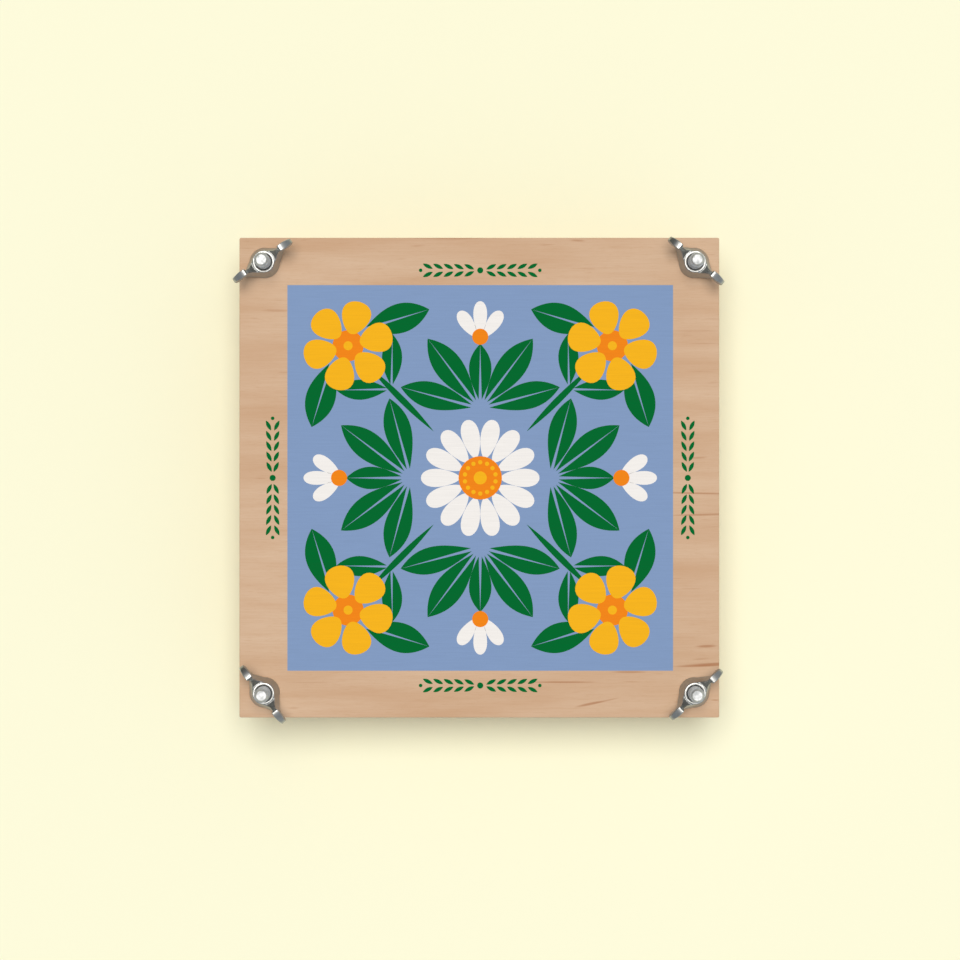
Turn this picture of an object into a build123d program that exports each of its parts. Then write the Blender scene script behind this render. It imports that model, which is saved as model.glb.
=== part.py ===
from build123d import *
import os
from math import acos, atan2, cos, hypot, pi, radians, sin, sqrt, tan

# Flower press. Two square plywood boards squeeze a stack of corrugated cards and
# blotting sheets. Four bolts stand up through the corners and carry wing nuts.
# Millimetres and degrees. The origin is the centre of the underside, +X is to the
# right and +Y to the back of the press as its printed lid is read, +Z is up.

# Boards
BOARD_SIDE = 190.0
BOARD_THICKNESS = 9.0
BOARD_CORNER_RADIUS = 0.6
BOARD_EDGE_ROUND = 0.4
BOLT_INSET = 10.0

# Bolts, flat countersunk heads with a square neck that keeps them from turning
BOLT_DIAMETER = 5.9
BOLT_PROUD = 18.0
BOLT_END_CHAMFER = 1.05
THREAD_LENGTH = 42.0
THREAD_PITCH = 1.0
THREAD_FLANK_ANGLE = 30.0
THREAD_CREST_SHARE = 0.125
THREAD_ROOT_SHARE = 0.25
HEAD_DIAMETER = 12.0
HEAD_LAND = 0.5
HEAD_CONE_HALF_ANGLE = 45.0
NECK_WIDTH = 6.3
NECK_LENGTH = 2.0

# Fits, each on one side
SEAT_CLEARANCE = 0.1
BOARD_HOLE_CLEARANCE = 0.55
NUT_BORE_CLEARANCE = 0.1
SHEET_BOLT_GAP = 2.0

# Wing nuts, a cone hub with two cast ears
NUT_HUB_BASE_DIAMETER = 12.0
NUT_HUB_TOP_DIAMETER = 8.6
NUT_HUB_HEIGHT = 7.0
NUT_HUB_CHAMFER = 0.35
NUT_BORE_CHAMFER = 0.3
NUT_SPAN = 28.0
NUT_HEIGHT = 14.2
LOBE_RADIUS = 2.9
LOBE_THICKNESS = 2.9
LOBE_ROUND = 0.9
WEB_FOOT_HEIGHT = 1.1
WEB_SHOULDER_DROP = 0.7
WEB_ROOT_WIDTH = 4.2
WEB_NECK_WIDTH = 1.6
WEB_NECK_SHARE = 0.48
WEB_LOBE_SHARE = 0.86

# Sheets between the boards, hand stacked, each clipped across its corners to pass the bolts
SHEET_MARGIN = 5.0
SHEET_SCATTER = 0.5
CARD_COUNT = 6
BLOTTERS_PER_GAP = 2
BLOTTER_THICKNESS = 0.6
CARD_LINER = 0.3
CARD_CORE = 2.4
FLUTE_PITCH = 6.5
FLUTE_PAPER = 0.25
FLUTE_ANGLE = 55.0
FLUTE_EDGE_WALL = 0.6

# Past a face that a cut leaves
OVERRUN = 2.0

# Corners as shares of the bolt offset to the right and to the back
CORNER_SHARES = {
    "front_left": (-1, -1),
    "front_right": (1, -1),
    "back_left": (-1, 1),
    "back_right": (1, 1),
}

# Heading of the ears of each wing nut, as it was left when tightened
EAR_ANGLES = {
    "front_left": -52.5,
    "front_right": 43.5,
    "back_left": 35.0,
    "back_right": -40.0,
}

# Heights that follow from the sizes above
card_thickness = CARD_CORE + 2 * CARD_LINER
blotter_count = BLOTTERS_PER_GAP * (CARD_COUNT - 1)
stack_height = CARD_COUNT * card_thickness + blotter_count * BLOTTER_THICKNESS
stack_z = BOARD_THICKNESS
lid_z = stack_z + stack_height
nut_z = lid_z + BOARD_THICKNESS
bolt_end_z = nut_z + BOLT_PROUD
cone_top_z = HEAD_LAND + (HEAD_DIAMETER - BOLT_DIAMETER) / 2 / tan(radians(HEAD_CONE_HALF_ANGLE))
neck_top_z = cone_top_z + NECK_LENGTH

# Places in plan
bolt_offset = BOARD_SIDE / 2 - BOLT_INSET
sheet_side = BOARD_SIDE - 2 * SHEET_MARGIN
bolt_keep_out = BOLT_DIAMETER / 2 + SHEET_BOLT_GAP + SHEET_SCATTER
corner_clip = 2 * (sheet_side / 2 - bolt_offset) + sqrt(2) * bolt_keep_out
golden_angle = pi * (3 - sqrt(5))

STANDING = (Align.CENTER, Align.CENTER, Align.MIN)


def turned(points):
    """Solid of revolution about +Z from a closed outline of radius and height."""
    return revolve(Plane.XZ * make_face(Polyline(*points, close=True)), Axis.Z)


def round_hole(diameter, low_z, high_z):
    return Pos(0, 0, low_z) * Cylinder(diameter / 2, high_z - low_z, align=STANDING)


def at_corner(shape, name):
    """Shape moved from the origin to the bolt axis of one corner."""
    right, back = CORNER_SHARES[name]
    return Pos(right * bolt_offset, back * bolt_offset, 0) * shape


def board(low_z):
    """Square plywood plate with sanded edges and a clearance hole in each corner."""
    plate = extrude(RectangleRounded(BOARD_SIDE, BOARD_SIDE, BOARD_CORNER_RADIUS), BOARD_THICKNESS)
    faces = plate.faces().sort_by(Axis.Z)
    plate = Pos(0, 0, low_z) * fillet(faces[0].edges() + faces[-1].edges(), BOARD_EDGE_ROUND)
    hole_diameter = BOLT_DIAMETER + 2 * BOARD_HOLE_CLEARANCE
    hole = round_hole(hole_diameter, low_z - OVERRUN, low_z + BOARD_THICKNESS + OVERRUN)
    return plate - [at_corner(hole, name) for name in CORNER_SHARES]


def head_and_neck(low_z, clearance):
    """Countersunk head and square neck of a bolt, or its seat when given a clearance."""
    rim = HEAD_DIAMETER / 2 + clearance
    shank = BOLT_DIAMETER / 2 + clearance
    head = turned([(0, low_z), (rim, low_z), (rim, HEAD_LAND), (shank, cone_top_z), (0, cone_top_z)])
    width = NECK_WIDTH + 2 * clearance
    neck = Box(width, width, neck_top_z + clearance - HEAD_LAND, align=STANDING)
    return head + Pos(0, 0, HEAD_LAND) * neck


def bottom_board():
    seat = head_and_neck(-OVERRUN, SEAT_CLEARANCE)
    return board(0) - [at_corner(seat, name) for name in CORNER_SHARES]


def bolt():
    """Bolt at the origin, its thread drawn as one ring groove for each turn."""
    crest_radius = BOLT_DIAMETER / 2
    crest = THREAD_CREST_SHARE * THREAD_PITCH
    root = THREAD_ROOT_SHARE * THREAD_PITCH
    flank = (THREAD_PITCH - crest - root) / 2
    root_radius = crest_radius - flank / tan(radians(THREAD_FLANK_ANGLE))
    turns = round(THREAD_LENGTH / THREAD_PITCH)
    thread_end_z = bolt_end_z - BOLT_END_CHAMFER
    outline = [(0, cone_top_z), (crest_radius, cone_top_z)]
    for turn in reversed(range(turns)):
        groove_z = thread_end_z - turn * THREAD_PITCH - THREAD_PITCH + crest / 2
        outline.append((crest_radius, groove_z))
        outline.append((root_radius, groove_z + flank))
        outline.append((root_radius, groove_z + flank + root))
        outline.append((crest_radius, groove_z + flank + root + flank))
    outline.append((crest_radius, thread_end_z))
    outline.append((crest_radius - BOLT_END_CHAMFER, bolt_end_z))
    outline.append((0, bolt_end_z))
    return turned(outline) + head_and_neck(0, 0)


def touch_point(start, centre, radius, side):
    """Where the line from a point touches a circle, on its side +1 or -1."""
    run = start[0] - centre[0]
    rise = start[1] - centre[1]
    angle = atan2(rise, run) + side * acos(radius / hypot(run, rise))
    return (centre[0] + radius * cos(angle), centre[1] + radius * sin(angle))


def ear(root_u):
    """One ear of a wing nut: a waisted web rising from the hub to a thick round lobe."""
    lobe = (NUT_SPAN / 2 - LOBE_RADIUS, NUT_HEIGHT - LOBE_RADIUS)
    foot = (root_u, WEB_FOOT_HEIGHT)
    shoulder = (root_u, NUT_HUB_HEIGHT - WEB_SHOULDER_DROP)
    outer_touch = touch_point(foot, lobe, LOBE_RADIUS, 1)
    inner_touch = touch_point(shoulder, lobe, LOBE_RADIUS, -1)
    side_face = make_face(Polyline(foot, outer_touch, lobe, inner_touch, shoulder, close=True))
    side = extrude(Plane.XZ * side_face, LOBE_THICKNESS + WEB_ROOT_WIDTH, both=True)

    neck_u = root_u + WEB_NECK_SHARE * (lobe[0] - root_u)
    root_half = WEB_ROOT_WIDTH / 2
    neck_half = WEB_NECK_WIDTH / 2
    lobe_half = WEB_LOBE_SHARE * LOBE_THICKNESS / 2
    tip_u = NUT_SPAN / 2
    left = ThreePointArc((root_u, root_half), (neck_u, neck_half), (lobe[0], lobe_half))
    tip = Polyline((lobe[0], lobe_half), (tip_u, lobe_half), (tip_u, -lobe_half), (lobe[0], -lobe_half))
    right = ThreePointArc((lobe[0], -lobe_half), (neck_u, -neck_half), (root_u, -root_half))
    root = Line((root_u, -root_half), (root_u, root_half))
    plan = extrude(make_face([left, *tip.edges(), right, root]), NUT_HEIGHT)

    pad = Rot(90, 0, 0) * Cylinder(LOBE_RADIUS, LOBE_THICKNESS)
    pad = fillet(pad.edges().filter_by(GeomType.CIRCLE), LOBE_ROUND)
    return (side & plan) + Pos(lobe[0], 0, lobe[1]) * pad


def wing_nut(ear_angle):
    bore = BOLT_DIAMETER / 2 + NUT_BORE_CLEARANCE
    base = NUT_HUB_BASE_DIAMETER / 2
    top = NUT_HUB_TOP_DIAMETER / 2
    hub = turned([
        (bore + NUT_BORE_CHAMFER, 0),
        (base - NUT_HUB_CHAMFER, 0),
        (base, NUT_HUB_CHAMFER),
        (top, NUT_HUB_HEIGHT),
        (bore + NUT_BORE_CHAMFER, NUT_HUB_HEIGHT),
        (bore, NUT_HUB_HEIGHT - NUT_BORE_CHAMFER),
        (bore, NUT_BORE_CHAMFER),
    ])
    one_ear = ear((bore + top) / 2)
    nut = hub + one_ear + Rot(0, 0, 180) * one_ear
    return Pos(0, 0, nut_z) * Rot(0, 0, ear_angle) * nut


def clipped_sheet(thickness):
    """Square sheet lying on z = 0, cut at 45 degrees across its four corners."""
    half = sheet_side / 2
    short = half - corner_clip
    quarter = [(half, short), (short, half)]
    corners = []
    for _ in range(4):
        corners += quarter
        quarter = [(-y, x) for x, y in quarter]
    return extrude(make_face(Polyline(*corners, close=True)), thickness)


def flute_void(middle_x, wide_z, direction):
    """Section of one air space: flat against a liner, rounded where the flute turns."""
    steep = radians(FLUTE_ANGLE)
    half = (FLUTE_PITCH / 2 + CARD_CORE / tan(steep) - FLUTE_PAPER / sin(steep)) / 2
    vertex = half * tan(steep)
    radius = (FLUTE_PAPER - CARD_CORE + vertex) / (1 / cos(steep) - 1)
    arc_depth = CARD_CORE - FLUTE_PAPER
    touch_depth = vertex - (radius / cos(steep) - radius * cos(steep))
    touch_x = radius * sin(steep)

    def place(x, depth):
        return (middle_x + x, wide_z - direction * depth)

    left_touch = place(-touch_x, touch_depth)
    right_touch = place(touch_x, touch_depth)
    flanks = Polyline(left_touch, place(-half, 0), place(half, 0), right_touch)
    bend = ThreePointArc(right_touch, place(0, arc_depth), left_touch)
    return make_face([*flanks.edges(), bend])


def corrugated_card(cross_grain):
    """Single wall corrugated board, its flutes along Y, or along X when cross grained."""
    section = Pos(0, card_thickness / 2) * Rectangle(sheet_side, card_thickness)
    reach = sheet_side / 2 - FLUTE_EDGE_WALL - FLUTE_PITCH / 2
    steps = int(reach / (FLUTE_PITCH / 2))
    voids = []
    for step in range(-steps, steps + 1):
        middle_x = step * FLUTE_PITCH / 2
        if step % 2:
            voids.append(flute_void(middle_x, CARD_LINER, -1))
        else:
            voids.append(flute_void(middle_x, CARD_LINER + CARD_CORE, 1))
    fluted = extrude(Plane.XZ * (section - voids), sheet_side, both=True)
    card = clipped_sheet(card_thickness) & fluted
    return Rot(0, 0, 90) * card if cross_grain else card


def stack():
    """Names and solids of the sheets from the bottom up, each a little off centre by hand."""
    blotter = clipped_sheet(BLOTTER_THICKNESS)
    blotter_number = 0
    layers = []
    for card_number in range(1, CARD_COUNT + 1):
        card = corrugated_card(cross_grain=card_number % 2 == 0)
        layers.append((f"card_{card_number}", card_thickness, card))
        if card_number == CARD_COUNT:
            break
        for _ in range(BLOTTERS_PER_GAP):
            blotter_number += 1
            layers.append((f"blotter_{blotter_number}", BLOTTER_THICKNESS, blotter))
    placed = {}
    low_z = stack_z
    for number, (name, thickness, sheet) in enumerate(layers):
        shift_x = SHEET_SCATTER * cos(number * golden_angle)
        shift_y = SHEET_SCATTER * sin(number * golden_angle)
        placed[name] = Pos(shift_x, shift_y, low_z) * sheet
        low_z += thickness
    return placed


pieces = {"bottom_board": bottom_board(), "top_board": board(lid_z), **stack()}
one_bolt = bolt()
for corner in CORNER_SHARES:
    pieces[f"bolt_{corner}"] = at_corner(one_bolt, corner)
    pieces[f"wing_nut_{corner}"] = at_corner(wing_nut(EAR_ANGLES[corner]), corner)

os.makedirs("parts", exist_ok=True)
for piece_name, piece in pieces.items():
    export_step(piece, f"parts/{piece_name}.step")
    print(piece_name, len(piece.solids()), round(piece.volume, 1), piece.is_valid)
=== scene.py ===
import math

import bmesh
import bpy
from mathutils import Matrix, Vector


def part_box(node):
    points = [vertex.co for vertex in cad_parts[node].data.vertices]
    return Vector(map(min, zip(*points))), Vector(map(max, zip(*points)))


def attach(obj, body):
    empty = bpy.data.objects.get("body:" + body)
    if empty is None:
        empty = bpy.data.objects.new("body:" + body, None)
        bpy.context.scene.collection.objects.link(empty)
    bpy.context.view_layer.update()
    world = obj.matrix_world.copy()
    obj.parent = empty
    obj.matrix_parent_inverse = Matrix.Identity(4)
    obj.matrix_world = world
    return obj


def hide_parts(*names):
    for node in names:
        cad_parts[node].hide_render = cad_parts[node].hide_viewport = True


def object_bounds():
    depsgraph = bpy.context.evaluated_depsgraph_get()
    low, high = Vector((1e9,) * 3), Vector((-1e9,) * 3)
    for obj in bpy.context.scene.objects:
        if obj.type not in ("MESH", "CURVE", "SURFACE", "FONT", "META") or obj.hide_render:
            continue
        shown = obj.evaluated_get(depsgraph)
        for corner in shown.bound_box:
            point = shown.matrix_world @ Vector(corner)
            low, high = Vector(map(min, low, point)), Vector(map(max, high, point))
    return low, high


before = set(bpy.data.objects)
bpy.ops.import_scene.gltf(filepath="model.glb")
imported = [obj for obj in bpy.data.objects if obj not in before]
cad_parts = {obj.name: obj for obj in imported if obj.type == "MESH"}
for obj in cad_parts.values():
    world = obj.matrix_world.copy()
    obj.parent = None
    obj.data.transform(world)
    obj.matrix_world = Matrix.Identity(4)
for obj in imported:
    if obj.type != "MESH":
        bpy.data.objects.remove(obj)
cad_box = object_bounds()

# Camera. It looks straight down on the closed press from about a metre above the lid, with the
# back of the press at the top of the square picture and the lid almost in the middle.
MM = 0.001
PICTURE_SIDE_PX = 960
PIXEL_ON_LID = 0.396 * MM
CAMERA_ABOVE_LID = 1100 * MM
CAMERA_SHIFT = Vector((0.26 * MM, -0.93 * MM, 0))
# In millimetres, as Blender has it
SENSOR_WIDTH = 36

lid_low, lid_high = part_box("top_board")
lid_middle = (lid_low + lid_high) / 2
lid_top = Vector((lid_middle.x, lid_middle.y, lid_high.z))
camera_data = bpy.data.cameras.new("camera")
camera_data.sensor_width = SENSOR_WIDTH
camera_data.lens = SENSOR_WIDTH * CAMERA_ABOVE_LID / (PICTURE_SIDE_PX * PIXEL_ON_LID)
camera = bpy.data.objects.new("camera", camera_data)
camera.location = lid_top + CAMERA_SHIFT + Vector((0, 0, CAMERA_ABOVE_LID))
bpy.context.scene.collection.objects.link(camera)
bpy.context.scene.camera = camera

# Floor. A sheet of uncoated cream paper, so it is matt and has no marks of its own, and so wide
# that its edge shows only as a far horizon.
FLOOR_REACH = 20.0
FLOOR_COLOUR = "#FBF9DA"
FLOOR_ROUGHNESS = 0.9


def linear(colour):
    """Linear RGBA of an sRGB hex colour."""
    shares = [int(colour[i:i + 2], 16) / 255 for i in (1, 3, 5)]
    return [s / 12.92 if s <= 0.04045 else ((s + 0.055) / 1.055) ** 2.4 for s in shares] + [1]


def node(tree, kind, values=None, links=None, **settings):
    """Adds a node, sets its properties and its sockets, and links outputs to its other sockets."""
    new = tree.nodes.new("ShaderNode" + kind)
    for name, value in settings.items():
        setattr(new, name, value)
    for socket, value in (values or {}).items():
        new.inputs[socket].default_value = value
    for socket, output in (links or {}).items():
        tree.links.new(output, new.inputs[socket])
    return new


def blank_material(name):
    """A new material with its node tree and its shader."""
    material = bpy.data.materials.new(name)
    material.use_nodes = True
    return material, material.node_tree, material.node_tree.nodes["Principled BSDF"]


cream_paper, _, paper_shader = blank_material("uncoated_cream_paper")
paper_shader.inputs["Base Color"].default_value = linear(FLOOR_COLOUR)
paper_shader.inputs["Roughness"].default_value = FLOOR_ROUGHNESS
paper_shader.inputs["Specular IOR Level"].default_value = 0

floor_shape = bmesh.new()
bmesh.ops.create_grid(floor_shape, x_segments=1, y_segments=1, size=FLOOR_REACH)
bmesh.ops.translate(floor_shape, verts=floor_shape.verts, vec=(0, 0, cad_box[0].z))
floor_mesh = bpy.data.meshes.new("floor")
floor_shape.to_mesh(floor_mesh)
floor_shape.free()
floor_mesh.materials.append(cream_paper)
floor = bpy.data.objects.new("floor", floor_mesh)
bpy.context.scene.collection.objects.link(floor)

# Light. One large round lamp far above, tilted a little to the back and less to the left, so the
# shadow falls short and soft to the front, in a pale room that is dark at its back left corner
# and brightest at the corner across from it.
# Tilts to the back and to the left, and the lamp's width as the press sees it, in degrees
LAMP_TILT = (10.5, 1.0)
LAMP_WIDTH = 34
LAMP_STRENGTH = 2.42
LAMP_COLOUR = "#FFFBF6"
SKY_COLOUR = "#ECF5FF"
SKY_HORIZON = 0.41
SKY_ZENITH = 0.32
BACK_LEFT = Vector((-1, 1, 0)).normalized()
# Where the room changes, as cosines to the back left, and its brightness there as a share
SKY_SIDES = ((0.45, 0.85, 0.02), (-0.5, -0.9, 1.45))

lamp_data = bpy.data.lights.new("lamp", "SUN")
lamp_data.energy = LAMP_STRENGTH
lamp_data.color = linear(LAMP_COLOUR)[:3]
lamp_data.angle = math.radians(LAMP_WIDTH)
lamp = bpy.data.objects.new("lamp", lamp_data)
lamp.rotation_euler = [-math.radians(tilt) for tilt in LAMP_TILT] + [0]
bpy.context.scene.collection.objects.link(lamp)

sky = bpy.data.worlds.new("sky")
sky.use_nodes = True
sky_tree = sky.node_tree
sky_direction = node(sky_tree, "TexCoord").outputs["Generated"]
sky_height = node(sky_tree, "SeparateXYZ", links={"Vector": sky_direction}).outputs["Z"]
sky_level = node(sky_tree, "MapRange", {"To Min": SKY_HORIZON, "To Max": SKY_ZENITH},
                 {"Value": sky_height})
sky_side = node(sky_tree, "VectorMath", {1: BACK_LEFT}, {0: sky_direction},
                operation="DOT_PRODUCT")
for start, end, share in SKY_SIDES:
    patch = node(sky_tree, "MapRange",
                 {"From Min": start, "From Max": end, "To Min": 1, "To Max": share},
                 {"Value": sky_side.outputs["Value"]}, interpolation_type="SMOOTHSTEP")
    sky_level = node(sky_tree, "Math", links={0: sky_level.outputs[0], 1: patch.outputs[0]},
                     operation="MULTIPLY")
background = sky_tree.nodes["Background"]
background.inputs["Color"].default_value = linear(SKY_COLOUR)
sky_tree.links.new(sky_level.outputs[0], background.inputs["Strength"])
bpy.context.scene.world = sky
bpy.context.scene.view_settings.view_transform = "Standard"

# Bottom board. A square of birch plywood, seven cross-laid veneers glued hot, sawn, drilled at the
# corners, eased along its edges and sanded, and left bare.
PLY_COUNT = 7
# Keeps the board's two faces inside the outer veneers
VENEER_FIT = 0.999
# Shift of the pattern from one veneer to the next
VENEER_STEP = 37 * MM
PALE_COLOUR = "#D9BB9E"
FIGURE_COLOUR = "#C9A280"
FIBRE_COLOUR = "#BF9672"
FLECK_COLOUR = "#A8704A"
END_GRAIN_COLOUR = "#A97C55"
GLUE_COLOUR = "#6B4A33"
# Each pattern: size along, across and through the grain, and detail
GRAIN_PATTERNS = {
    "figure": ((95 * MM, 11 * MM, 11 * MM), 3),
    "fibre": ((16 * MM, 0.55 * MM, 0.55 * MM), 3),
    "pore": ((3.2 * MM, 0.22 * MM, 0.22 * MM), 1),
    "fleck": ((15 * MM, 1.3 * MM, 1.3 * MM), 1),
}
GRAIN_DISTORTION = 0.3
FIGURE_SPREAD = (0.25, 0.75)
# Each finer pattern: noise where it starts to show and where it is full, colour, greatest share
GRAIN_SHADES = {
    "fibre": (0.42, 0.8, FIBRE_COLOUR, 0.28),
    "pore": (0.58, 0.78, FIBRE_COLOUR, 0.34),
    "fleck": (0.73, 0.83, FLECK_COLOUR, 0.35),
}
GRAIN_RELIEF = 0.02 * MM
GRAIN_RELIEF_SHARE = 0.6
STREAK_WANDER = 1.1 * MM
# A streak is at its darkest up to this share of its reach
STREAK_CORE = 0.3
# How squarely an edge faces along the grain where end grain starts to show and where it is full
END_GRAIN_FACING = (0.8, 0.98)
END_PORE_SIZE = 0.3 * MM
END_PORE_SPREAD = (0.3, 0.7)
END_PORE_SHADES = (0.45, 1)
# Half of a glue line as a share of a veneer, and its darkness
GLUE_LINE_SHARE = 0.06
GLUE_DARKNESS = 0.55
# Upward share of a face's heading, either way, where glue lines start to show and where full
GLUE_FACING = (0.7, 0.2)
# Smoothest where the fibres lie flat, roughest in the open pores
WOOD_ROUGHNESS = (0.62, 0.78)
ROUGHNESS_SPREAD = (0.35, 0.65)
WOOD_SPECULAR = 0.12


def birch_plywood(name, middle, thickness, streaks_and_edge_shade=()):
    """Bare sanded birch plywood: pale pinkish veneer with a faint long figure, fine fibres, short
    pores and a few brown flecks; the edges show pale long grain and darker end grain in turn."""
    material, tree, shader = blank_material(name)
    spot = node(tree, "TexCoord")
    place = node(tree, "Mapping", {"Location": -middle}, {"Vector": spot.outputs["Object"]})
    axes = node(tree, "SeparateXYZ", links={"Vector": place.outputs[0]})
    facing = node(tree, "SeparateXYZ", links={"Vector": spot.outputs["Normal"]})

    # Number of the veneer from below, and whether its grain runs across the board
    level = node(tree, "Math", {1: VENEER_FIT * PLY_COUNT / thickness, 2: PLY_COUNT / 2},
                 {0: axes.outputs["Z"]}, operation="MULTIPLY_ADD").outputs[0]
    veneer = node(tree, "Math", links={0: level}, operation="FLOOR").outputs[0]
    crossed = node(tree, "Math", {1: 2}, {0: veneer}, operation="MODULO").outputs[0]
    along = node(tree, "Mix", links={0: crossed, 2: axes.outputs["X"], 3: axes.outputs["Y"]})
    across = node(tree, "Mix", links={0: crossed, 2: axes.outputs["Y"], 3: axes.outputs["X"]})
    apart = node(tree, "Math", {1: VENEER_STEP}, {0: veneer, 2: across.outputs[0]},
                 operation="MULTIPLY_ADD")
    grain = node(tree, "CombineXYZ", links={"X": along.outputs[0], "Y": apart.outputs[0],
                                            "Z": axes.outputs["Z"]}).outputs[0]

    patterns = {}
    for pattern, (size, detail) in GRAIN_PATTERNS.items():
        scaled = node(tree, "Mapping", {"Scale": [1 / s for s in size]}, {"Vector": grain})
        patterns[pattern] = node(tree, "TexNoise", {"Scale": 1, "Detail": detail,
                                                    "Distortion": GRAIN_DISTORTION},
                                 {"Vector": scaled.outputs[0]}).outputs["Fac"]

    # Broad figure, then the fibres, pores and flecks, each only a shade from the last
    share = node(tree, "MapRange", {"From Min": FIGURE_SPREAD[0], "From Max": FIGURE_SPREAD[1]},
                 {"Value": patterns["figure"]}).outputs[0]
    colour = node(tree, "MixRGB", {"Color1": linear(PALE_COLOUR), "Color2": linear(FIGURE_COLOUR)},
                  {"Fac": share}).outputs[0]
    for pattern, (start, full, shade, most) in GRAIN_SHADES.items():
        share = node(tree, "MapRange", {"From Min": start, "From Max": full, "To Max": most},
                     {"Value": patterns[pattern]}).outputs[0]
        colour = node(tree, "MixRGB", {"Color2": linear(shade)},
                      {"Fac": share, "Color1": colour}).outputs[0]

    # Brown streaks in the uppermost veneer, long soft-ended marks that wander with the fibres;
    # the lid's list also holds a painted shade line along its back edge
    uppermost = node(tree, "Math", {1: PLY_COUNT - 1}, {0: level},
                     operation="GREATER_THAN").outputs[0]
    bent = node(tree, "VectorMath", {1: (0, STREAK_WANDER, 0)},
                {0: patterns["figure"], 2: place.outputs[0]}, operation="MULTIPLY_ADD").outputs[0]
    for x, y, length, width, tilt, strength in streaks_and_edge_shade:
        heart = Vector((x, y, 0)) * MM + Vector((0, STREAK_WANDER / 2, 0))
        stretch = Vector((2 / (length * MM), 2 / (width * MM), 0))
        straight = node(tree, "VectorRotate", {"Center": heart, "Angle": -math.radians(tilt)},
                        {"Vector": bent}, rotation_type="Z_AXIS")
        mark = node(tree, "Mapping", {"Location": -heart * stretch, "Scale": stretch},
                    {"Vector": straight.outputs[0]})
        reach = node(tree, "VectorMath", links={0: mark.outputs[0]}, operation="LENGTH")
        share = node(tree, "MapRange",
                     {"From Min": 1, "From Max": STREAK_CORE, "To Max": strength},
                     {"Value": reach.outputs["Value"]}, interpolation_type="SMOOTHSTEP").outputs[0]
        share = node(tree, "Math", links={0: share, 1: uppermost}, operation="MULTIPLY").outputs[0]
        colour = node(tree, "MixRGB", {"Color2": linear(FLECK_COLOUR)},
                      {"Fac": share, "Color1": colour}).outputs[0]

    # End grain where a veneer is cut across, speckled with open pores
    cut = node(tree, "Mix", links={0: crossed, 2: facing.outputs["X"], 3: facing.outputs["Y"]})
    cut = node(tree, "Math", links={0: cut.outputs[0]}, operation="ABSOLUTE").outputs[0]
    cut = node(tree, "MapRange", {"From Min": END_GRAIN_FACING[0],
                                  "From Max": END_GRAIN_FACING[1]}, {"Value": cut}).outputs[0]
    speck = node(tree, "TexNoise", {"Scale": 1 / END_PORE_SIZE, "Detail": 2},
                 {"Vector": place.outputs[0]}).outputs["Fac"]
    speckled = node(tree, "MapRange", {"From Min": END_PORE_SPREAD[0],
                                       "From Max": END_PORE_SPREAD[1],
                                       "To Min": END_PORE_SHADES[0],
                                       "To Max": END_PORE_SHADES[1]}, {"Value": speck}).outputs[0]
    share = node(tree, "Math", links={0: cut, 1: speckled}, operation="MULTIPLY").outputs[0]
    colour = node(tree, "MixRGB", {"Color2": linear(END_GRAIN_COLOUR)},
                  {"Fac": share, "Color1": colour}).outputs[0]

    # Glue lines between the veneers, only on the edges
    line = node(tree, "Math", {1: 0.5}, {0: level}, operation="PINGPONG").outputs[0]
    upward = node(tree, "Math", links={0: facing.outputs["Z"]}, operation="ABSOLUTE").outputs[0]
    edge_on = node(tree, "MapRange", {"From Min": GLUE_FACING[0], "From Max": GLUE_FACING[1],
                                      "To Max": GLUE_DARKNESS}, {"Value": upward}).outputs[0]
    glued = node(tree, "MapRange", {"From Min": GLUE_LINE_SHARE, "From Max": 0}, {"Value": line})
    share = node(tree, "Math", links={0: glued.outputs[0], 1: edge_on}, operation="MULTIPLY")
    colour = node(tree, "MixRGB", {"Color2": linear(GLUE_COLOUR)},
                  {"Fac": share.outputs[0], "Color1": colour}).outputs[0]

    relief = node(tree, "Bump", {"Strength": GRAIN_RELIEF_SHARE, "Distance": GRAIN_RELIEF},
                  {"Height": patterns["fibre"]})
    rough = node(tree, "MapRange", {"From Min": ROUGHNESS_SPREAD[0],
                                    "From Max": ROUGHNESS_SPREAD[1], "To Min": WOOD_ROUGHNESS[0],
                                    "To Max": WOOD_ROUGHNESS[1]}, {"Value": patterns["pore"]})
    tree.links.new(colour, shader.inputs["Base Color"])
    tree.links.new(rough.outputs[0], shader.inputs["Roughness"])
    tree.links.new(relief.outputs[0], shader.inputs["Normal"])
    shader.inputs["Specular IOR Level"].default_value = WOOD_SPECULAR
    return material


def dress(name, material):
    """Gives a CAD node its finish."""
    for material_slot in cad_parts[name].material_slots:
        material_slot.material = material


board_low, board_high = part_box("bottom_board")
dress("bottom_board", birch_plywood("bare_birch_plywood_base", (board_low + board_high) / 2,
                                    board_high.z - board_low.z))

# Bolts. Four zinc-plated steel bolts with countersunk square-necked heads, cold forged and thread
# rolled, pressed up through the bottom board so that the necks lock in the wood.
CORNERS = ("front_left", "front_right", "back_left", "back_right")
BOLT_RADIUS = 2.95 * MM
THREAD_PITCH = 1.0 * MM
THREAD_DEPTH = 0.54 * MM
THREAD_CREST = 0.125 * THREAD_PITCH
THREAD_ROOT = 0.25 * THREAD_PITCH
THREAD_LENGTH = 42 * MM
THREAD_STEPS = 32
# Spare turns, trimmed off at the two ends
THREAD_SPARE = 2
END_CHAMFER = 1.05 * MM
HEAD_RADIUS = 6.0 * MM
HEAD_LAND = 0.5 * MM
NECK_WIDTH = 6.3 * MM
NECK_LENGTH = 2.0 * MM
# Points closer than this are one point
WELD = 0.001 * MM
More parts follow.
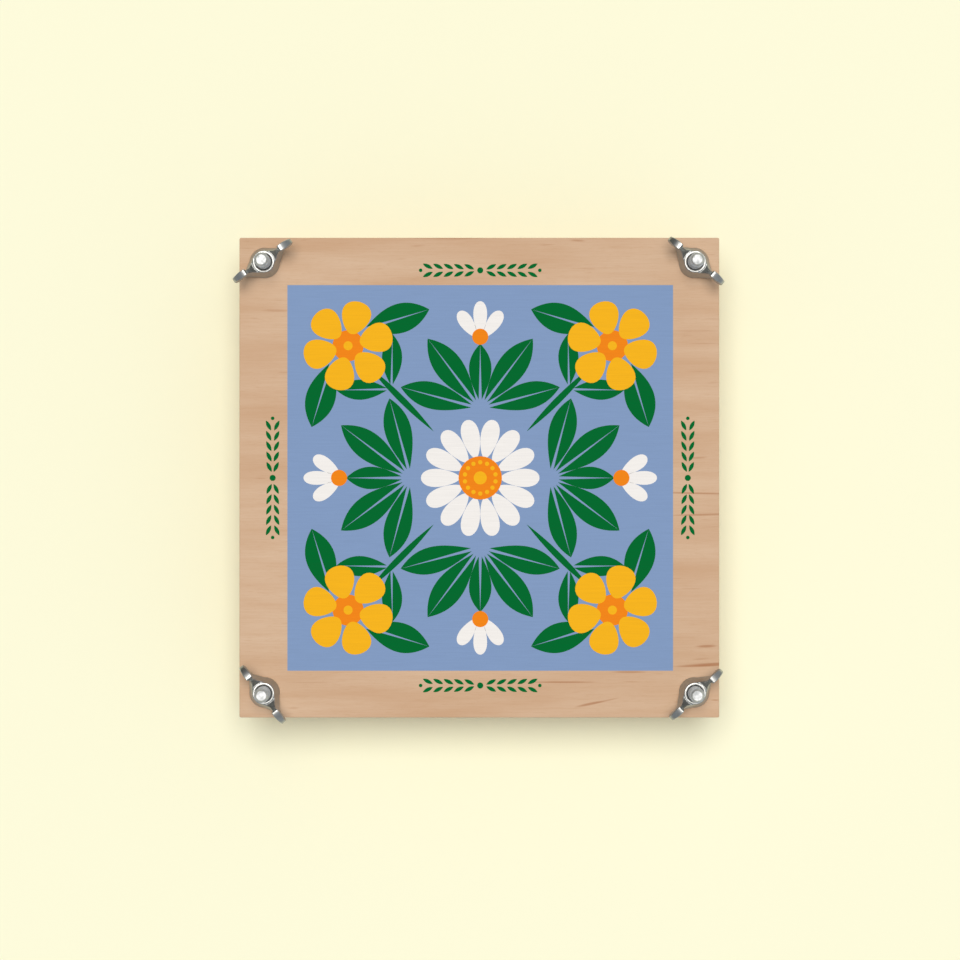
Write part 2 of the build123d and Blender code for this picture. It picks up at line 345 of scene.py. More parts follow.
# Edges sharper than this stay sharp, in degrees
SHARP_ANGLE = 35
BRIGHT_ZINC_COLOUR = "#DADBDB"
DULL_ZINC_COLOUR = "#BDBFBE"
BOLT_ROUGHNESS = (0.58, 0.7)
BOLT_RELIEF = 0.004 * MM
ZINC_BLOOM_SIZE = 1.6 * MM
ZINC_GRIT_SIZE = 0.2 * MM
ZINC_RELIEF_SHARE = 0.5
# Upward share of a face's heading below which it is steep, and above which it is level; steep
# faces take the painted shade colour
PAINTED_SHADE_FACING = (0.15, 0.45)


def plated_steel(name, bright, dull, painted_shade, roughness, relief):
    """Zinc-plated steel: a grey metal whose thin plating is blotched a little brighter and duller,
    with a painted shade colour on steep flanks and a surface as rough as the metal below it."""
    material, tree, shader = blank_material(name)
    spot = node(tree, "TexCoord")
    place = spot.outputs["Object"]
    facing = node(tree, "SeparateXYZ", links={"Vector": spot.outputs["Normal"]})
    # Painted shade: the steeper a face, the more it takes the painted shade colour in place of the
    # plating
    level = node(tree, "MapRange", {"From Min": PAINTED_SHADE_FACING[0], "From Max": PAINTED_SHADE_FACING[1]},
                 {"Value": facing.outputs["Z"]}).outputs[0]
    bloom = node(tree, "TexNoise", {"Scale": 1 / ZINC_BLOOM_SIZE, "Detail": 4}, {"Vector": place})
    grit = node(tree, "TexNoise", {"Scale": 1 / ZINC_GRIT_SIZE, "Detail": 3}, {"Vector": place})
    spread = node(tree, "MapRange", {"From Min": ROUGHNESS_SPREAD[0],
                                     "From Max": ROUGHNESS_SPREAD[1]},
                  {"Value": bloom.outputs["Fac"]}).outputs[0]
    colour = node(tree, "MixRGB", {"Color1": linear(bright), "Color2": linear(dull)},
                  {"Fac": spread}).outputs[0]
    colour = node(tree, "MixRGB", {"Color1": linear(painted_shade)}, {"Fac": level, "Color2": colour})
    rough = node(tree, "MapRange", {"To Min": roughness[0], "To Max": roughness[1]},
                 {"Value": spread})
    bumps = node(tree, "Bump", {"Strength": ZINC_RELIEF_SHARE, "Distance": relief},
                 {"Height": grit.outputs["Fac"]})
    shader.inputs["Metallic"].default_value = 1
    tree.links.new(colour.outputs[0], shader.inputs["Base Color"])
    tree.links.new(rough.outputs[0], shader.inputs["Roughness"])
    tree.links.new(bumps.outputs[0], shader.inputs["Normal"])
    return material


def place_piece(name, shape, material, body, sharp_angle=SHARP_ANGLE):
    """Makes a shape an object of one material that moves with a body."""
    mesh = bpy.data.meshes.new(name)
    shape.to_mesh(mesh)
    shape.free()
    mesh.materials.append(material)
    mesh.shade_smooth()
    mesh.set_sharp_from_angle(angle=math.radians(sharp_angle))
    piece = bpy.data.objects.new(name, mesh)
    bpy.context.scene.collection.objects.link(piece)
    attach(piece, body)
    return piece


bolt_low, bolt_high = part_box("bolt_front_left")
bolt_height = bolt_high.z - bolt_low.z
thread_start = bolt_height - END_CHAMFER - THREAD_LENGTH
thread_turns = math.ceil((bolt_height - thread_start) / THREAD_PITCH) + THREAD_SPARE
thread_flank = (THREAD_PITCH - THREAD_CREST - THREAD_ROOT) / 2
thread_root_radius = BOLT_RADIUS - THREAD_DEPTH

# One ridge of the thread, wound up the bolt right-handed, trimmed at both ends and closed on top
bolt_shape = bmesh.new()
ridge = [bolt_shape.verts.new((radius, 0, thread_start - THREAD_PITCH + height))
         for radius, height in ((BOLT_RADIUS, 0), (BOLT_RADIUS, THREAD_CREST),
                                (thread_root_radius, THREAD_CREST + thread_flank),
                                (thread_root_radius, THREAD_PITCH - thread_flank),
                                (BOLT_RADIUS, THREAD_PITCH))]
ridge_lines = [bolt_shape.edges.new(pair) for pair in zip(ridge, ridge[1:])]
bmesh.ops.spin(bolt_shape, geom=ridge + ridge_lines, cent=(0, 0, 0), axis=(0, 0, 1),
               dvec=(0, 0, THREAD_PITCH / THREAD_STEPS), angle=2 * math.pi * thread_turns,
               steps=THREAD_STEPS * thread_turns, use_merge=False)
bmesh.ops.remove_doubles(bolt_shape, verts=bolt_shape.verts, dist=WELD)
for height, upward in ((bolt_height, 1), (thread_start, -1)):
    trimmed = bmesh.ops.bisect_plane(
        bolt_shape, geom=bolt_shape.verts[:] + bolt_shape.edges[:] + bolt_shape.faces[:],
        dist=WELD, plane_co=(0, 0, height), plane_no=(0, 0, upward), clear_outer=True)
    rim = [part for part in trimmed["geom_cut"] if isinstance(part, bmesh.types.BMEdge)]
    if upward > 0:
        bmesh.ops.holes_fill(bolt_shape, edges=rim)

# The thread runs out into the shank below, and the end is chamfered above
for vert in bolt_shape.verts:
    radius = vert.co.xy.length
    if radius > 0:
        run_out = BOLT_RADIUS - THREAD_DEPTH * (vert.co.z - thread_start) / THREAD_PITCH
        chamfer = BOLT_RADIUS - END_CHAMFER + bolt_height - vert.co.z
        share = min(max(radius, run_out), chamfer) / radius
        vert.co.x *= share
        vert.co.y *= share

# Plain shank, square neck and countersunk head, drawn down from the lower rim as one skin. A ring
# without a radius is the neck's square, and one without a height lies on the cone of the head.
cone_height = HEAD_LAND + HEAD_RADIUS - BOLT_RADIUS
neck_top = cone_height + NECK_LENGTH
for ring_radius, ring_height in ((BOLT_RADIUS, neck_top), (None, neck_top), (None, None),
                                 (HEAD_RADIUS, HEAD_LAND), (HEAD_RADIUS, 0)):
    drawn = bmesh.ops.extrude_edge_only(bolt_shape, edges=rim)["geom"]
    rim = [part for part in drawn if isinstance(part, bmesh.types.BMEdge)]
    for vert in (part for part in drawn if isinstance(part, bmesh.types.BMVert)):
        way = vert.co.xy.normalized()
        radius = ring_radius or NECK_WIDTH / 2 / max(abs(way.x), abs(way.y))
        height = HEAD_LAND + HEAD_RADIUS - radius if ring_height is None else ring_height
        vert.co = (way.x * radius, way.y * radius, height)
bmesh.ops.holes_fill(bolt_shape, edges=rim)
bmesh.ops.recalc_face_normals(bolt_shape, faces=bolt_shape.faces)

bright_zinc = plated_steel("bright_zinc_plated_steel", BRIGHT_ZINC_COLOUR, DULL_ZINC_COLOUR,
                           BRIGHT_ZINC_COLOUR, BOLT_ROUGHNESS, BOLT_RELIEF)
for corner in CORNERS:
    low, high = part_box("bolt_" + corner)
    shape = bolt_shape.copy()
    bmesh.ops.translate(shape, verts=shape.verts,
                        vec=((low.x + high.x) / 2, (low.y + high.y) / 2, low.z))
    bolt = place_piece("threaded_bolt_" + corner, shape, bright_zinc, "base")
    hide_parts("bolt_" + corner)
bolt_shape.free()

# Corrugated cards. Kraft board with one fluted core between two liners, cut square with clipped
# corners; the flutes of every other card run the other way so that air passes in both directions.
FLUTE_PITCH = 6.5 * MM
KRAFT_COLOUR = "#B98F62"
KRAFT_DARK_COLOUR = "#9C7448"
KRAFT_FIBRE_COLOUR = "#8A6238"
KRAFT_CLOUD_SIZE = 9 * MM
KRAFT_FIBRE_SIZE = (2.4 * MM, 0.25 * MM, 0.25 * MM)
KRAFT_FIBRE_DISTORTION = 1.2
# Where fibres and flutes start to show and where they are full, and their greatest share
KRAFT_FIBRE_SHADES = (0.55, 0.8, 0.4)
KRAFT_FLUTE_SHADES = (0.2, 1, 0.22)
KRAFT_RELIEF = 0.03 * MM
KRAFT_RELIEF_SHARE = 0.5
KRAFT_ROUGHNESS = (0.78, 0.92)
KRAFT_SPECULAR = 0.2


def kraft_card(name, flutes_along_x):
    """Brown kraft liner: cloudy felted fibres, with the glued flutes showing through as faint
    stripes."""
    material, tree, shader = blank_material(name)
    place = node(tree, "TexCoord").outputs["Object"]
    axes = node(tree, "SeparateXYZ", links={"Vector": place})
    cloud = node(tree, "TexNoise", {"Scale": 1 / KRAFT_CLOUD_SIZE, "Detail": 5}, {"Vector": place})
    scaled = node(tree, "Mapping", {"Scale": [1 / s for s in KRAFT_FIBRE_SIZE]}, {"Vector": place})
    fibre = node(tree, "TexNoise", {"Scale": 1, "Detail": 2, "Distortion": KRAFT_FIBRE_DISTORTION},
                 {"Vector": scaled.outputs[0]}).outputs["Fac"]
    stripe = node(tree, "Math", {1: 2 * math.pi / FLUTE_PITCH},
                  {0: axes.outputs["Y" if flutes_along_x else "X"]}, operation="MULTIPLY")
    stripe = node(tree, "Math", links={0: stripe.outputs[0]}, operation="COSINE").outputs[0]
    colour = node(tree, "MixRGB", {"Color1": linear(KRAFT_COLOUR),
                                   "Color2": linear(KRAFT_DARK_COLOUR)},
                  {"Fac": cloud.outputs["Fac"]}).outputs[0]
    for value, (start, full, most) in ((fibre, KRAFT_FIBRE_SHADES), (stripe, KRAFT_FLUTE_SHADES)):
        share = node(tree, "MapRange", {"From Min": start, "From Max": full, "To Max": most},
                     {"Value": value}).outputs[0]
        colour = node(tree, "MixRGB", {"Color2": linear(KRAFT_FIBRE_COLOUR)},
                      {"Fac": share, "Color1": colour}).outputs[0]
    relief = node(tree, "Bump", {"Strength": KRAFT_RELIEF_SHARE, "Distance": KRAFT_RELIEF},
                  {"Height": fibre})
    rough = node(tree, "MapRange", {"From Min": ROUGHNESS_SPREAD[0],
                                    "From Max": ROUGHNESS_SPREAD[1], "To Min": KRAFT_ROUGHNESS[0],
                                    "To Max": KRAFT_ROUGHNESS[1]}, {"Value": fibre})
    tree.links.new(colour, shader.inputs["Base Color"])
    tree.links.new(rough.outputs[0], shader.inputs["Roughness"])
    tree.links.new(relief.outputs[0], shader.inputs["Normal"])
    shader.inputs["Specular IOR Level"].default_value = KRAFT_SPECULAR
    return material


kraft = [kraft_card("kraft_corrugated_card_x", True), kraft_card("kraft_corrugated_card_y", False)]
for name in sorted(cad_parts):
    if name.startswith("card_"):
        dress(name, kraft[int(name.removeprefix("card_")) % 2])

# Blotting sheets. Thick unsized cotton paper in pairs between the cards, soft, absorbent and matt,
# cut to the cards' outline; the flowers lie between the two sheets of a pair.
BLOTTER_COLOUR = "#EFEADD"
BLOTTER_SHADE_COLOUR = "#DDD5C2"
BLOTTER_CLOUD_SIZE = 6 * MM
BLOTTER_FIBRE_SIZE = 0.5 * MM
BLOTTER_FIBRE_DISTORTION = 1.5
BLOTTER_RELIEF = 0.05 * MM
BLOTTER_RELIEF_SHARE = 0.6
BLOTTER_ROUGHNESS = (0.9, 0.98)
BLOTTER_SPECULAR = 0.1


def cotton_paper(name):
    """Unsized cotton paper: soft off-white with faint clouds and a felted, quite matt surface."""
    material, tree, shader = blank_material(name)
    place = node(tree, "TexCoord").outputs["Object"]
    cloud = node(tree, "TexNoise", {"Scale": 1 / BLOTTER_CLOUD_SIZE, "Detail": 6},
                 {"Vector": place})
    fibre = node(tree, "TexNoise", {"Scale": 1 / BLOTTER_FIBRE_SIZE, "Detail": 3,
                                    "Distortion": BLOTTER_FIBRE_DISTORTION},
                 {"Vector": place}).outputs["Fac"]
    colour = node(tree, "MixRGB", {"Color1": linear(BLOTTER_COLOUR),
                                   "Color2": linear(BLOTTER_SHADE_COLOUR)},
                  {"Fac": cloud.outputs["Fac"]})
    relief = node(tree, "Bump", {"Strength": BLOTTER_RELIEF_SHARE, "Distance": BLOTTER_RELIEF},
                  {"Height": fibre})
    rough = node(tree, "MapRange", {"From Min": ROUGHNESS_SPREAD[0],
                                    "From Max": ROUGHNESS_SPREAD[1],
                                    "To Min": BLOTTER_ROUGHNESS[0],
                                    "To Max": BLOTTER_ROUGHNESS[1]}, {"Value": fibre})
    tree.links.new(colour.outputs[0], shader.inputs["Base Color"])
    tree.links.new(rough.outputs[0], shader.inputs["Roughness"])
    tree.links.new(relief.outputs[0], shader.inputs["Normal"])
    shader.inputs["Specular IOR Level"].default_value = BLOTTER_SPECULAR
    return material


blotting_paper = cotton_paper("cotton_blotting_paper")
for name in sorted(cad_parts):
    if name.startswith("blotter_"):
        dress(name, blotting_paper)

# Top board. A second square of the same plywood, the lid, drilled to slide on the bolts. Its
# veneer has brown streaks, most of them in the right border and near the front right corner;
# a dark line along its back edge, listed with them, is painted shade.

# Each streak: middle, length and width in millimetres, heading in degrees, strength
LID_STREAKS_AND_EDGE_SHADE = (
    (94, -73.9, 36, 2.0, 2.5, 0.75),
    (85, -74.6, 22, 1.0, 1, 0.5),
    (90, -66.7, 11, 1.6, 2, 0.62),
    (86, -6.2, 44, 1.0, -1, 0.55),
    (90, -14.6, 36, 1.2, 1.5, 0.5),
    (86.6, 7.9, 9, 1.0, 2, 0.4),
    (89, 53.2, 16, 0.8, 0, 0.25),
    (92.5, 62.8, 10, 0.8, 0, 0.2),
    (85, 58.1, 24, 1.4, 0, 0.12),
    (88, 42.2, 16, 0.7, 0, 0.15),
    (88, -71.7, 10, 0.9, 2, 0.2),
    (44, -89.6, 15, 1.4, 11.5, 0.65),
    (50, -88.4, 14, 0.9, 13, 0.4),
    (33, -80.9, 36, 1.0, 0, 0.6),
    (59.5, -76.9, 18, 1.2, 0, 0.5),
    (-80.5, 66.2, 14, 1.5, -2, 0.3),
    (93.5, -88.1, 5, 0.8, 0, 0.5),
    # Painted shade: a dark line on the back edge itself, where the edge rounds over
    (-12, 95.2, 42, 2.2, 0, 0.4),
    (39, 93.9, 8, 1.1, -3, 0.45),
    (-66, -81.2, 24, 0.7, 0, 0.2),
)
dress("top_board", birch_plywood("bare_birch_plywood_lid", lid_middle, lid_high.z - lid_low.z,
                                 LID_STREAKS_AND_EDGE_SHADE))

# Printed panel. Five flat inks screen printed on the lid, one over the other: a blue square, then
# leaves, petals and flower centres in a four-fold block-print pattern, and sprays in the border.
PANEL_SIDE = 152.7 * MM
PANEL_SHIFT = Vector((0.35 * MM, -0.1 * MM, 0))
INK_BITE = 0.02 * MM
INK_FILM = 0.025 * MM
INK_COLOURS = {"blue": "#829AC0", "green": "#00682E", "white": "#F1EDE9", "orange": "#F08519",
               "yellow": "#F4B31E"}
INK_GRAIN_SIZE = (14 * MM, 0.6 * MM, 0.6 * MM)
INK_GRAIN_SPREAD = (0.3, 0.7)
INK_SHADES = (0.96, 1.02)
INK_RELIEF = 0.01 * MM
INK_RELIEF_SHARE = 0.4
INK_ROUGHNESS = (0.68, 0.82)
INK_SPECULAR = 0.04
CURVE_STEPS = 14
# Width of a petal at its middle as a share, and how much broader it is at its end
PETAL_MIDDLE = 0.85
PETAL_FLARE = 0.25


def screen_ink(name, colour):
    """Matt screen ink: an even film, a shade lighter and darker along the fibres of the wood."""
    material, tree, shader = blank_material(name)
    place = node(tree, "TexCoord").outputs["Object"]
    scaled = node(tree, "Mapping", {"Scale": [1 / s for s in INK_GRAIN_SIZE]}, {"Vector": place})
    grain = node(tree, "TexNoise", {"Scale": 1, "Detail": 3},
                 {"Vector": scaled.outputs[0]}).outputs["Fac"]
    value = node(tree, "MapRange", {"From Min": INK_GRAIN_SPREAD[0],
                                    "From Max": INK_GRAIN_SPREAD[1], "To Min": INK_SHADES[0],
                                    "To Max": INK_SHADES[1]}, {"Value": grain})
    shade = node(tree, "HueSaturation", {"Color": linear(colour)}, {"Value": value.outputs[0]})
    relief = node(tree, "Bump", {"Strength": INK_RELIEF_SHARE, "Distance": INK_RELIEF},
                  {"Height": grain})
    rough = node(tree, "MapRange", {"From Min": INK_GRAIN_SPREAD[0],
                                    "From Max": INK_GRAIN_SPREAD[1], "To Min": INK_ROUGHNESS[0],
                                    "To Max": INK_ROUGHNESS[1]}, {"Value": grain})
    tree.links.new(shade.outputs[0], shader.inputs["Base Color"])
    tree.links.new(rough.outputs[0], shader.inputs["Roughness"])
    tree.links.new(relief.outputs[0], shader.inputs["Normal"])
    shader.inputs["Specular IOR Level"].default_value = INK_SPECULAR
    return material


def lay(shape, points, foot, heading):
    """Turns a motif drawn along X and moves its foot to a place on the lid."""
    bmesh.ops.rotate(shape, verts=points, cent=(0, 0, 0),
                     matrix=Matrix.Rotation(math.radians(heading), 3, "Z"))
    bmesh.ops.translate(shape, verts=points, vec=(foot[0], foot[1], 0))


def leaf(shape, foot, heading, length, width, slit=0, fullness=0):
    """A pointed leaf in two halves, with a slit of bare ground that closes towards the tip."""
    for side in (1, -1):
        before = set(shape.verts)
        start = shape.verts.new((1, 0, 0))
        bmesh.ops.spin(shape, geom=[start], cent=(0, 0, 0), axis=(0, 0, 1), dvec=(0, 0, 0),
                       angle=math.pi, steps=2 * CURVE_STEPS, use_merge=False)
        half = [vert for vert in shape.verts if vert not in before]
        for vert in half:
            x, y = vert.co.x, abs(vert.co.y)
            vert.co.x = (x + 1) * length / 2
            vert.co.y = side * (y * y * (1 + fullness * x) * width / 2 + slit * (1 - x) / 4)
        bmesh.ops.contextual_create(shape, geom=half)
        lay(shape, half, foot, heading)


def petal(shape, foot, heading, length, width):
    """A rounded petal, broadest past its middle."""
    points = bmesh.ops.create_circle(shape, cap_ends=True, segments=2 * CURVE_STEPS,
                                     radius=1)["verts"]
    for vert in points:
        vert.co.y *= width / 2 * (PETAL_MIDDLE + PETAL_FLARE * vert.co.x)
        vert.co.x = (vert.co.x + 1) * length / 2
    lay(shape, points, foot, heading)


def dot(shape, middle, radius):
    """A round spot."""
    points = bmesh.ops.create_circle(shape, cap_ends=True, segments=2 * CURVE_STEPS,
                                     radius=radius)["verts"]
    lay(shape, points, middle, 0)


def polar(radius, heading, start=(0, 0)):
    """Point at a distance and heading from a start."""
    angle = math.radians(heading)
    return start[0] + radius * math.cos(angle), start[1] + radius * math.sin(angle)


inks = {ink: bmesh.new() for ink in INK_COLOURS}
bmesh.ops.create_grid(inks["blue"], x_segments=1, y_segments=1, size=PANEL_SIDE / 2)

# Daisy in the middle, with a ring of seeds round its heart
DAISY_PETALS = 14
DAISY_PETAL_START = 8 * MM
DAISY_PETAL_SIZE = (15.5 * MM, 8.2 * MM)
DAISY_SEED_REACH = 6.2 * MM
DAISY_SEED_RADIUS = 0.85 * MM
DAISY_HEART_RADIUS = 8.6 * MM
DAISY_EYE_RADIUS = 2.6 * MM
for number in range(DAISY_PETALS):
    heading = 360 * number / DAISY_PETALS
    petal(inks["white"], polar(DAISY_PETAL_START, heading), heading, *DAISY_PETAL_SIZE)
    dot(inks["yellow"], polar(DAISY_SEED_REACH, heading + 180 / DAISY_PETALS), DAISY_SEED_RADIUS)
dot(inks["orange"], (0, 0), DAISY_HEART_RADIUS)
dot(inks["yellow"], (0, 0), DAISY_EYE_RADIUS)

# Fan of leaves with a white bud towards the middle of each side
FAN_REACH = 27.5 * MM
FAN_LEAF_START = 3.6 * MM
FAN_LEAF_CUT = {"slit": 1.2 * MM, "fullness": 0.3}
# Each leaf or petal: heading from the axis of the fan, length and width
FAN_LEAVES = ((0, 22 * MM, 8.2 * MM), (37, 31 * MM, 10.4 * MM), (-37, 31 * MM, 10.4 * MM),
              (75, 29 * MM, 9.8 * MM), (-75, 29 * MM, 9.8 * MM))
BUD_PETALS = ((0, 13.5 * MM, 6.2 * MM), (34, 12 * MM, 6.2 * MM), (-34, 12 * MM, 6.2 * MM))
BUD_REACH = 26 * MM
BUD_PETAL_START = 3 * MM
BUD_CUP_REACH = 2.4 * MM
BUD_CUP_RADIUS = 3.2 * MM
for quarter in range(4):
    axis = 90 * quarter
    root = polar(FAN_REACH, axis)
    for spread, length, width in FAN_LEAVES:
        leaf(inks["green"], polar(FAN_LEAF_START, axis + spread, root), axis + spread, length,
             width, **FAN_LEAF_CUT)
    bud = polar(BUD_REACH, axis, root)
    for spread, length, width in BUD_PETALS:
        petal(inks["white"], polar(BUD_PETAL_START, axis + spread, bud), axis + spread, length,
              width)
    dot(inks["orange"], polar(BUD_CUP_REACH, axis, bud), BUD_CUP_RADIUS)

# Sprig with a yellow blossom in each corner, a pair of leaves on its stem and one at the blossom
STEM_START = 26 * MM
STEM_SIZE = (36 * MM, 2.6 * MM)
STEM_LEAF_REACH = 51 * MM
STEM_LEAF_OFFSET = 1.5
STEM_LEAF_LEAN = 46
STEM_LEAF_SIZE = (20 * MM, 7.5 * MM)
STEM_LEAF_CUT = {"slit": 0.9 * MM, "fullness": 0.2}
BLOSSOM_REACH = 74 * MM
BLOSSOM_LEAF_REACH = 10 * MM
BLOSSOM_LEAF_OFFSET = 92
BLOSSOM_LEAF_LEAN = 118
BLOSSOM_LEAF_SIZE = (26 * MM, 11 * MM)
BLOSSOM_LEAF_CUT = {"slit": 1.2 * MM, "fullness": 0.2}
BLOSSOM_PETALS = 6
BLOSSOM_PETAL_START = 4.8 * MM
BLOSSOM_PETAL_SIZE = (13.2 * MM, 13.2 * MM)
BLOSSOM_HEART_RADIUS = 6.2 * MM
BLOSSOM_EYE_RADIUS = 1.8 * MM
for quarter in range(4):
    axis = 90 * quarter + 45
    blossom = polar(BLOSSOM_REACH, axis)
    leaf(inks["green"], polar(STEM_START, axis), axis, *STEM_SIZE)
    for side in (1, -1):
        leaf(inks["green"], polar(STEM_LEAF_REACH, axis + side * STEM_LEAF_OFFSET),
             axis + side * STEM_LEAF_LEAN, *STEM_LEAF_SIZE, **STEM_LEAF_CUT)
        leaf(inks["green"], polar(BLOSSOM_LEAF_REACH, axis + side * BLOSSOM_LEAF_OFFSET, blossom),
             axis + side * BLOSSOM_LEAF_LEAN, *BLOSSOM_LEAF_SIZE, **BLOSSOM_LEAF_CUT)
    for number in range(BLOSSOM_PETALS):
        heading = axis + 180 + 360 * number / BLOSSOM_PETALS
        petal(inks["yellow"], polar(BLOSSOM_PETAL_START, heading, blossom), heading,
              *BLOSSOM_PETAL_SIZE)
    dot(inks["orange"], blossom, BLOSSOM_HEART_RADIUS)
    dot(inks["yellow"], blossom, BLOSSOM_EYE_RADIUS)

# Sprays of leaves and dots in the border, one on each side
SPRAY_REACH = 82.2 * MM
SPRAY_MIDDLE_RADIUS = 1.2 * MM
SPRAY_PAIRS = 5
SPRAY_START = 2.4 * MM
SPRAY_STEP = 4.1 * MM
# Leaves of a pair stand apart by an angle seen from the middle and by a gap, and lean outwards
SPRAY_PARTING = 0.9
SPRAY_GAP = 0.35 * MM
SPRAY_LEAN = 27
SPRAY_LEAF_SIZE = (4.4 * MM, 1.5 * MM)
SPRAY_END_REACH = 23.6 * MM
SPRAY_END_RADIUS = 0.7 * MM
for quarter in range(4):
    axis = 90 * quarter
    middle = polar(SPRAY_REACH, axis)
    dot(inks["green"], middle, SPRAY_MIDDLE_RADIUS)
    for side in (1, -1):
        run = axis + side * 90
        for number in range(SPRAY_PAIRS):
            for lean in (1, -1):
                foot = polar(SPRAY_START + SPRAY_STEP * number, run + lean * SPRAY_PARTING, middle)
                foot = polar(SPRAY_GAP, run + lean * 90, foot)
                leaf(inks["green"], foot, run + lean * SPRAY_LEAN, *SPRAY_LEAF_SIZE)
        dot(inks["green"], polar(SPRAY_END_REACH, run, middle), SPRAY_END_RADIUS)

# Each ink is a thin film that bites into the wood and lies a little higher than the ink before
for number, (ink, shape) in enumerate(inks.items()):
    bmesh.ops.recalc_face_normals(shape, faces=shape.faces)
    bmesh.ops.translate(shape, verts=shape.verts,
                        vec=lid_top + PANEL_SHIFT - Vector((0, 0, INK_BITE)))
    film = bmesh.ops.extrude_face_region(shape, geom=shape.faces[:])
    raised = [part for part in film["geom"] if isinstance(part, bmesh.types.BMVert)]
    bmesh.ops.translate(shape, verts=raised, vec=(0, 0, INK_BITE + (number + 1) * INK_FILM))
    bmesh.ops.recalc_face_normals(shape, faces=shape.faces)
    place_piece("print_" + ink, shape, screen_ink("screen_ink_" + ink, INK_COLOURS[ink]), "lid")

# Wing nuts. Four zinc-plated malleable iron nuts, cast in sand with two ears, tapped through the
# hub and screwed down on the lid, each left at the heading where it came tight.
NUT_HUB_HEIGHT = 7.0 * MM
NUT_CLEAR_OF_LID = 0.02 * MM
NUT_CHAMFER = 0.35 * MM
HUB_SEGMENTS = 16
# A smoothed ring shrinks to this share of its cage
RING_SHARE = (2 + math.cos(2 * math.pi / HUB_SEGMENTS)) / 3
NUT_BASE_RADIUS = 6.1 * MM / RING_SHARE
NUT_TOP_RADIUS = 4.3 * MM / RING_SHARE
NUT_BORE_RADIUS = 3.05 * MM / RING_SHARE
# Rings of the hub's flank as shares of its height
FLANK_SHARES = (0.14, 0.5, 0.95)
HUB_CREASE = 0.7
# Lengths that differ by less than this are the same
ALIKE = 0.01 * MM
EAR_HEADINGS = {"front_left": -52.5, "front_right": 43.5, "back_left": 35.0, "back_right": -40.0}
# The ear's foot on the hub: heights as shares of the hub's, and degrees to either side
EAR_FOOT_HEIGHTS = (0.2, 0.8)
EAR_FOOT_ARC = 45
# Along the ear: outward reach, height and half width of its lower edge and of its upper edge
EAR_STATIONS = (
    ((6.9, 1.6, 2.6), (5.3, 7.2, 1.5)),
    ((8.2, 3.4, 1.3), (6.6, 9.0, 0.95)),
    ((10.2, 6.2, 0.95), (7.8, 12.0, 0.75)),
    ((10.6, 7.2, 1.15), (7.6, 13.4, 1.3)),
    ((12.0, 8.4, 1.45), (7.9, 14.5, 1.45)),
    ((13.3, 9.9, 1.45), (10.6, 13.8, 1.5)),
    ((14.0, 11.0, 0.85), (13.0, 12.3, 0.9)),
)
# Across the ear: rows from the lower edge up, and points of each row as shares of its half width
EAR_ROWS = 3
EAR_SHARES = (-1, -0.75, 0, 0.75, 1)
NUT_SMOOTHING = 3
ALL_SMOOTH = 180
CAST_ZINC_COLOUR = "#B6B7B5"
CAST_ZINC_DULL_COLOUR = "#A4A4A1"
# Painted shade on the nuts' steep flanks, a darker and cooler grey than the plating
CAST_ZINC_PAINTED_SHADE_COLOUR = "#A6AFB4"
CAST_ROUGHNESS = (0.34, 0.42)
CAST_RELIEF = 0.02 * MM

# Hub, turned from its profile, with firm edges round its underside and along its bore
nut_profile = [
    (NUT_BORE_RADIUS + NUT_CHAMFER, 0),
    (NUT_BASE_RADIUS - NUT_CHAMFER, 0),
    (NUT_BASE_RADIUS, NUT_CHAMFER),
    *((NUT_BASE_RADIUS + (NUT_TOP_RADIUS - NUT_BASE_RADIUS) * share, NUT_HUB_HEIGHT * share)
      for share in FLANK_SHARES),
    (NUT_TOP_RADIUS, NUT_HUB_HEIGHT),
    (NUT_BORE_RADIUS + NUT_CHAMFER, NUT_HUB_HEIGHT),
    (NUT_BORE_RADIUS, NUT_HUB_HEIGHT - NUT_CHAMFER),
    (NUT_BORE_RADIUS, NUT_CHAMFER),
]
nut_shape = bmesh.new()
nut_points = [nut_shape.verts.new((radius, 0, height)) for radius, height in nut_profile]
nut_lines = [nut_shape.edges.new(pair)
             for pair in zip(nut_points, nut_points[1:] + nut_points[:1])]
bmesh.ops.spin(nut_shape, geom=nut_points + nut_lines, cent=(0, 0, 0), axis=(0, 0, 1),
               dvec=(0, 0, 0), angle=2 * math.pi, steps=HUB_SEGMENTS, use_merge=True)
bmesh.ops.remove_doubles(nut_shape, verts=nut_shape.verts, dist=WELD)
bmesh.ops.recalc_face_normals(nut_shape, faces=nut_shape.faces)
creases = nut_shape.edges.layers.float.new("crease_edge")
for edge in nut_shape.edges:
    start, end = (vert.co for vert in edge.verts)
    round_hub = (abs(start.z - end.z) < ALIKE
                 and abs(start.xy.length - end.xy.length) < ALIKE)
    if round_hub and (start.z == 0 or start.xy.length < NUT_BORE_RADIUS + ALIKE):
        edge[creases] = HUB_CREASE

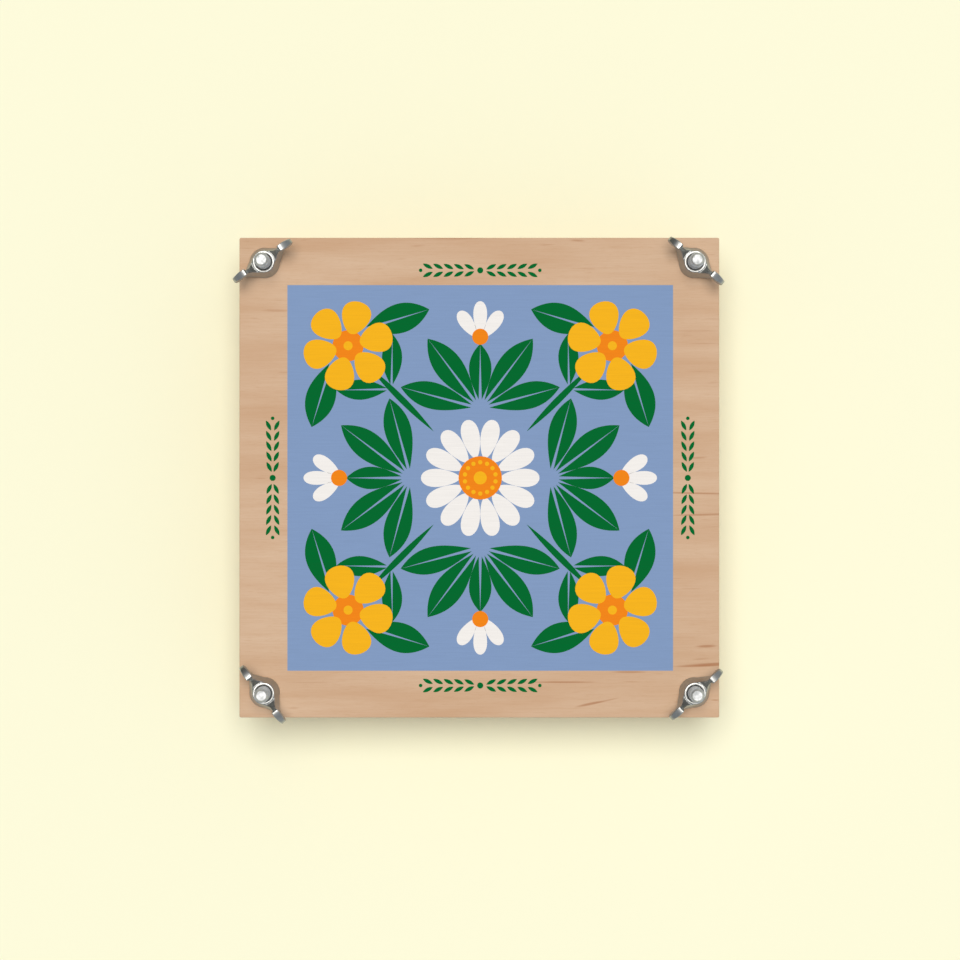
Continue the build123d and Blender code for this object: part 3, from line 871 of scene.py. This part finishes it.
# Ears, drawn out of the hub's flank from station to station
for side in (1, -1):
    patch = []
    for face in nut_shape.faces:
        middle = face.calc_center_median()
        height = middle.z / NUT_HUB_HEIGHT
        heading = abs(math.degrees(math.atan2(middle.y, side * middle.x)))
        if (EAR_FOOT_HEIGHTS[0] < height < EAR_FOOT_HEIGHTS[1] and heading < EAR_FOOT_ARC
                and middle.xy.length > NUT_TOP_RADIUS):
            patch.append(face)
    for lower, upper in EAR_STATIONS:
        grown = bmesh.ops.extrude_face_region(nut_shape, geom=patch)["geom"]
        bmesh.ops.delete(nut_shape, geom=patch, context="FACES")
        patch = [part for part in grown if isinstance(part, bmesh.types.BMFace)]
        points = sorted((part for part in grown if isinstance(part, bmesh.types.BMVert)),
                        key=lambda vert: vert.co.z)
        for row in range(EAR_ROWS):
            station = Vector(lower).lerp(Vector(upper), row / (EAR_ROWS - 1))
            reach, height, half_width = station * MM
            row_points = sorted(points[len(EAR_SHARES) * row:len(EAR_SHARES) * (row + 1)],
                                key=lambda vert: vert.co.y)
            for vert, share in zip(row_points, EAR_SHARES):
                vert.co = (side * reach, half_width * share, height)
bmesh.ops.recalc_face_normals(nut_shape, faces=nut_shape.faces)

cast_zinc = plated_steel("zinc_plated_cast_iron", CAST_ZINC_COLOUR, CAST_ZINC_DULL_COLOUR,
                         CAST_ZINC_PAINTED_SHADE_COLOUR, CAST_ROUGHNESS, CAST_RELIEF)
for corner in CORNERS:
    low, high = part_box("wing_nut_" + corner)
    foot = Vector(((low.x + high.x) / 2, (low.y + high.y) / 2, low.z + NUT_CLEAR_OF_LID))
    shape = nut_shape.copy()
    bmesh.ops.rotate(shape, verts=shape.verts, cent=(0, 0, 0),
                     matrix=Matrix.Rotation(math.radians(EAR_HEADINGS[corner]), 3, "Z"))
    bmesh.ops.translate(shape, verts=shape.verts, vec=foot)
    nut = place_piece("cast_wing_nut_" + corner, shape, cast_zinc, "nut_" + corner,
                      ALL_SMOOTH)
    rounding = nut.modifiers.new("rounding", "SUBSURF")
    rounding.levels = rounding.render_levels = NUT_SMOOTHING
    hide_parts("wing_nut_" + corner)
nut_shape.free()
